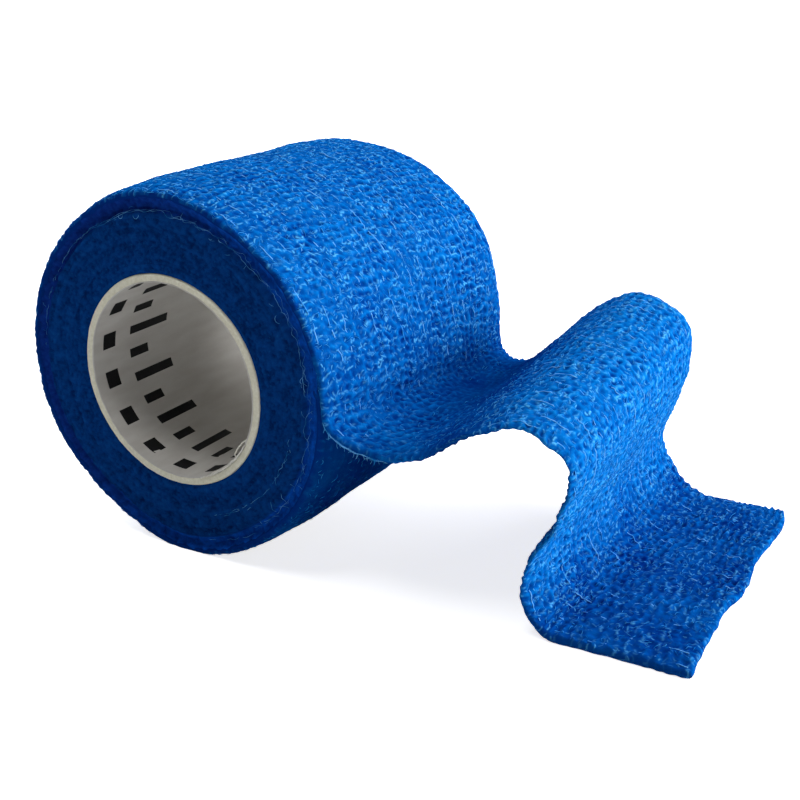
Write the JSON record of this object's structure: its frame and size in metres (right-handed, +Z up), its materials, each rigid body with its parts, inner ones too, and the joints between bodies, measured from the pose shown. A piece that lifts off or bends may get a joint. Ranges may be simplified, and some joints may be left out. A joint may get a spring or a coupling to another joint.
{
  "type": "cohesive bandage roll",
  "caption": "Elastic crepe bandage wound on a paper tube, its loose end peeled off, rising in a fold and lying flat; wraps and supports a limb.",
  "frame": {"origin": "middle of the flat spot on which the wound roll rests, under the middle of its axis", "axes": "+Z up; +Y along the roll's axis, away from the face that the loose end is seen from; +X the way the loose end is drawn off"},
  "size_m": [0.1051, 0.0559, 0.0552],
  "materials": {
    "cloth": "matt, crinkled elastic nonwoven in bright blue",
    "paper": "cream paper tube with a white, slightly glossy inner ply"
  },
  "bodies": {
    "root": {"bandage": "cloth", "core": "paper"}
  },
  "joints": []
}
